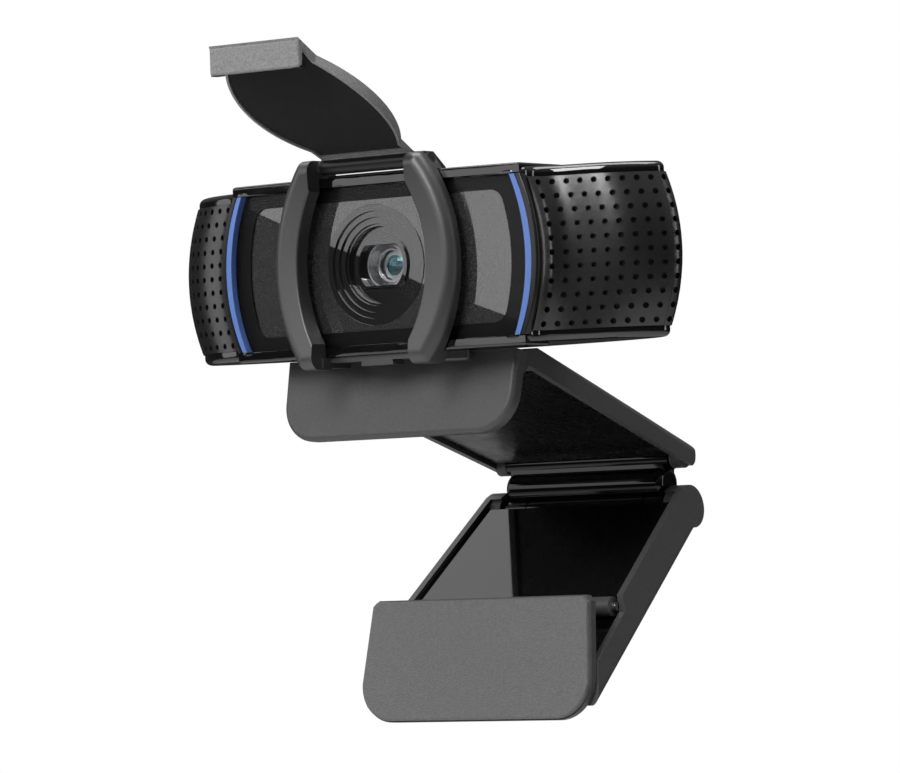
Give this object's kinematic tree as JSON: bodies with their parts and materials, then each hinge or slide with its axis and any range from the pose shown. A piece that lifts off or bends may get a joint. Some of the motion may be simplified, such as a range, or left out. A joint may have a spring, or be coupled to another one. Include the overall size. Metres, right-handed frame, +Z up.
{
  "type": "webcam with folding monitor clip",
  "caption": "Wide webcam head with perforated grilles, glossy window and flip-up privacy shutter, on a tilting neck and a folding monitor clip with hinged foot and tripod thread.",
  "frame": {"origin": "middle of the liner face on the underside of the clip arm, which rests on the top edge of a monitor", "axes": "+X to the right seen from in front of the lens, -Y the way the lens looks, +Z up"},
  "size_m": [0.0996, 0.0956, 0.1055],
  "materials": {
    "shutter_gray": "satin",
    "lid_gray": "satin",
    "cap_black": "gloss",
    "grille_black": "satin",
    "bezel_black": "satin",
    "clip_charcoal": "fine texture",
    "clip_gloss": "gloss",
    "soft_pad": "fine leather grain",
    "hinge_black": "satin",
    "felt": "flocked",
    "window_glass": "polished",
    "mask_black": "printed",
    "plate_gray": "fine texture",
    "lamp_blue": "light guide",
    "lens_glass": "coated",
    "barrel_gray": "satin",
    "steel": "brushed",
    "brass": "turned",
    "board_green": "solder mask",
    "chip_black": "moulded",
    "lamp_white": "moulded",
    "aluminium": "satin",
    "silicone": "moulded"
  },
  "bodies": {
    "arm": {"arm_shell": "clip_charcoal", "arm_liner": "clip_gloss", "lip_pad": "soft_pad", "tilt_pin": "steel", "tilt_washers": "steel", "arm_hinge_pin": "steel"},
    "head": {"grille_right": "grille_black", "grille_left": "grille_black", "rear_shell": "grille_black", "top_cap": "cap_black", "bottom_cap": "cap_black", "front_window": "window_glass", "window_mask": "mask_black", "window_plate": "plate_gray", "led_strip_right": "lamp_blue", "led_strip_left": "lamp_blue", "side_bezel_right": "bezel_black", "side_bezel_left": "bezel_black", "lens_surround": "mask_black", "lens_barrel": "barrel_gray", "lens_retainer": "barrel_gray", "lens_front_element": "lens_glass", "lens_inner_element": "lens_glass", "focus_actuator": "chip_black", "image_sensor": "chip_black", "sensor_board": "board_green", "chassis": "clip_charcoal", "head_screws": "steel", "main_board": "board_green", "heat_spreader": "aluminium", "microphones": "steel", "microphone_boots": "silicone", "led_emitters": "lamp_white", "cable_gland": "silicone", "tilt_neck": "clip_gloss", "shutter_frame": "shutter_gray", "shutter_pins": "shutter_gray"},
    "lid": {"lid_shell": "lid_gray", "lid_liner": "felt", "lid_barrel": "hinge_black", "lid_bumpers": "hinge_black"},
    "link": {"hinge_link": "clip_gloss", "link_bushes": "brass"},
    "leg": {"leg_shell": "clip_charcoal", "leg_liner": "clip_gloss", "leg_hinge_pin": "steel", "tripod_insert": "brass", "foot_pin": "steel"},
    "foot": {"foot_shell": "clip_charcoal", "foot_pad": "soft_pad"}
  },
  "joints": [
    {"name": "head_tilt", "type": "hinge", "parent": "arm", "child": "head", "pos_m": [0, -0.0165, 0.0052], "axis": [-1, 0, 0], "range_deg": [0, 15]},
    {"name": "shutter_lid", "type": "hinge", "parent": "head", "child": "lid", "pos_m": [0, -0.03044, 0.03683], "axis": [-1, 0, 0], "range_deg": [-113, 45]},
    {"name": "arm_link", "type": "hinge", "parent": "arm", "child": "link", "pos_m": [0, 0.0319, -0.00794], "axis": [1, 0, 0], "range_deg": [-15, 40]},
    {"name": "link_leg", "type": "hinge", "parent": "link", "child": "leg", "pos_m": [0, 0.0318, -0.01617], "axis": [1, 0, 0], "range_deg": [-25, 45]},
    {"name": "foot_tilt", "type": "hinge", "parent": "leg", "child": "foot", "pos_m": [0, 0.0091, -0.03367], "axis": [-1, 0, 0], "range_deg": [0, 40]}
  ]
}
